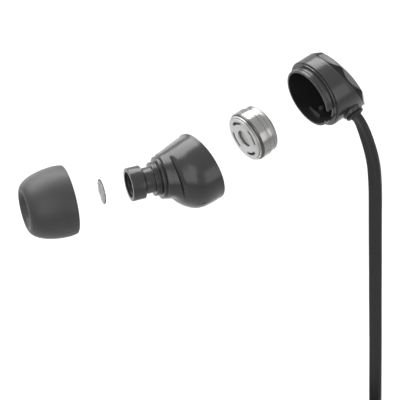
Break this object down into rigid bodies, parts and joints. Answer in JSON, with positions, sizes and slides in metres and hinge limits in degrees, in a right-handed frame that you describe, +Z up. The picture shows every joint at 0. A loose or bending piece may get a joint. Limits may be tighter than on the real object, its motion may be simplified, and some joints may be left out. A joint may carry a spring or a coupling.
{
  "type": "wired earphones",
  "caption": "Wired in-ear earphones with a flat cable and jack plug; one earpiece is drawn apart into tip, mesh, housings and driver, and its pieces slide together.",
  "frame": {"origin": "centre of the mouth of the right earpiece's nozzle", "axes": "-X out of the right nozzle's mouth, towards the ear; +Z up, so that the cable hangs along -Z; +Y away from a viewer who has the nozzle on the left"},
  "size_m": [0.0682, 0.0339, 0.1899],
  "materials": {
    "silicone": "soft satin silicone",
    "woven_mesh": "fine woven wire",
    "satin_black": "satin moulded plastic",
    "gloss_black": "polished plastic",
    "foam": "matt black",
    "steel": "turned and polished steel",
    "dark_steel": "knurled steel",
    "film": "thin clear film",
    "copper": "enamelled wire",
    "magnet": "plated magnet",
    "iron": "plated iron",
    "felt": "damping cloth",
    "board": "circuit board",
    "cord_rubber": "smooth matt elastomer",
    "tie": "matt elastomer band",
    "gold": "gold plated"
  },
  "bodies": {
    "right_front": {"right_front_housing": "satin_black", "right_gasket": "foam"},
    "right_tip": {"right_ear_tip": "silicone"},
    "right_mesh": {"right_mesh": "woven_mesh"},
    "right_driver": {"right_front_plate": "steel", "right_trim_ring": "dark_steel", "right_driver_frame": "steel", "right_rear_can": "steel", "right_magnet": "magnet", "right_top_plate": "iron", "right_yoke": "iron", "right_damping_cloth": "felt", "right_terminal_board": "board"},
    "right_membrane": {"right_diaphragm": "film", "right_voice_coil": "copper"},
    "cable": {"right_rear_housing": "satin_black", "right_back_cap": "gloss_black", "right_bushing": "cord_rubber", "right_cord_anchor": "cord_rubber", "right_lead": "cord_rubber", "right_lead_wound": "cord_rubber", "left_lead": "cord_rubber", "left_lead_wound": "cord_rubber", "main_lead_wound": "cord_rubber", "main_lead_end": "cord_rubber", "splitter_front": "satin_black", "splitter_back": "satin_black", "hank_tie": "tie", "plug_relief": "cord_rubber", "plug_grip": "satin_black", "jack_sleeve": "gold", "jack_ring": "gold", "jack_tip": "gold", "jack_insulators": "foam", "left_mesh": "woven_mesh", "left_front_housing": "satin_black", "left_gasket": "foam", "left_rear_housing": "satin_black", "left_back_cap": "gloss_black", "left_bushing": "cord_rubber", "left_cord_anchor": "cord_rubber", "left_front_plate": "steel", "left_trim_ring": "dark_steel", "left_driver_frame": "steel", "left_rear_can": "steel", "left_magnet": "magnet", "left_top_plate": "iron", "left_yoke": "iron", "left_damping_cloth": "felt", "left_terminal_board": "board"},
    "left_tip": {"left_ear_tip": "silicone"},
    "left_membrane": {"left_diaphragm": "film", "left_voice_coil": "copper"}
  },
  "joints": [
    {"name": "tip_seat", "type": "slide", "parent": "right_front", "child": "right_tip", "axis": [1, 0, 0], "range_m": [0, 0.01625]},
    {"name": "mesh_seat", "type": "slide", "parent": "right_front", "child": "right_mesh", "axis": [1, 0, 0], "range_m": [0, 0.005]},
    {"name": "rear_close", "type": "slide", "parent": "right_front", "child": "cable", "axis": [-0.944, -0.3067, -0.1219], "range_m": [0, 0.0256]},
    {"name": "driver_insert", "type": "slide", "parent": "right_front", "child": "right_driver", "axis": [-0.944, -0.3067, -0.1219], "range_m": [0, 0.0128]},
    {"name": "right_membrane_stroke", "type": "slide", "parent": "right_driver", "child": "right_membrane", "axis": [-0.944, -0.3067, -0.1219], "range_m": [-0.00015, 0.00015], "stiffness_N_per_m": 60},
    {"name": "left_tip_pull", "type": "slide", "parent": "cable", "child": "left_tip", "axis": [-0.944, 0.0541, -0.3256], "range_m": [0, 0.012]},
    {"name": "left_membrane_stroke", "type": "slide", "parent": "cable", "child": "left_membrane", "axis": [-1, 0, 0], "range_m": [-0.00015, 0.00015], "stiffness_N_per_m": 60}
  ],
  "couplings": [
    {"joint": "mesh_seat", "follows": "tip_seat", "ratio": 0.3076},
    {"joint": "driver_insert", "follows": "rear_close", "ratio": 0.5}
  ]
}
